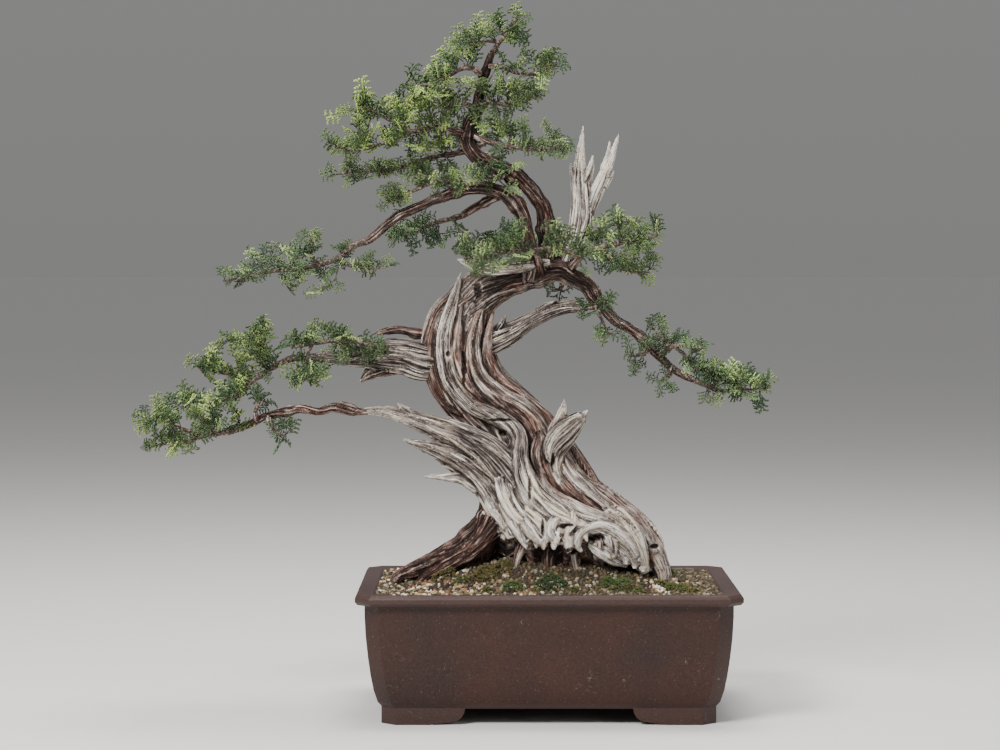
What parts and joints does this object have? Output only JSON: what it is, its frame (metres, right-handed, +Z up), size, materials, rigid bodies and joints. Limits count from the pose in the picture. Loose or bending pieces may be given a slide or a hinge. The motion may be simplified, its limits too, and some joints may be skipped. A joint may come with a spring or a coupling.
{
  "type": "potted bonsai tree",
  "caption": "California juniper bonsai with a twisting trunk, bare deadwood and sparse sprays of scale-leaved shoots, growing in gritty soil in a rectangular stoneware pot with cut corners.",
  "frame": {"origin": "on the ground under the middle of the whole bonsai's box, tree and pot together", "axes": "+Z up, +X to the viewer's right and -Y towards the viewer of the bonsai's front, which is the pot's long side"},
  "size_m": [0.6341, 0.282, 0.6987],
  "materials": {
    "stoneware": null,
    "mesh": "black plastic mesh",
    "soil": null,
    "wood": "silvered bare deadwood beside reddish brown living bark, deeply grooved along its grain",
    "foliage": "matte grey-green scale leaves on thin brown twigs"
  },
  "bodies": {
    "root": {"drain_screen_left": "mesh", "drain_screen_right": "mesh", "foliage_apex": "foliage", "foliage_arch_top": "foliage", "foliage_back_high": "foliage", "foliage_back_middle": "foliage", "foliage_crown_centre": "foliage", "foliage_crown_left": "foliage", "foliage_crown_low_right": "foliage", "foliage_crown_right": "foliage", "foliage_left_arch": "foliage", "foliage_left_far": "foliage", "foliage_left_high": "foliage", "foliage_left_mid": "foliage", "foliage_left_shade": "foliage", "foliage_low_far": "foliage", "foliage_low_over": "foliage", "foliage_low_under": "foliage", "foliage_middle_front": "foliage", "foliage_right_hanging": "foliage", "foliage_right_high": "foliage", "foliage_right_middle": "foliage", "foliage_right_shade": "foliage", "foliage_right_tip": "foliage", "foliage_right_tuft": "foliage", "foliage_right_under_far": "foliage", "foliage_right_under_near": "foliage", "foliage_shelf_far": "foliage", "foliage_shelf_near": "foliage", "pot": "stoneware", "soil": "soil", "trunk": "wood"}
  },
  "joints": []
}
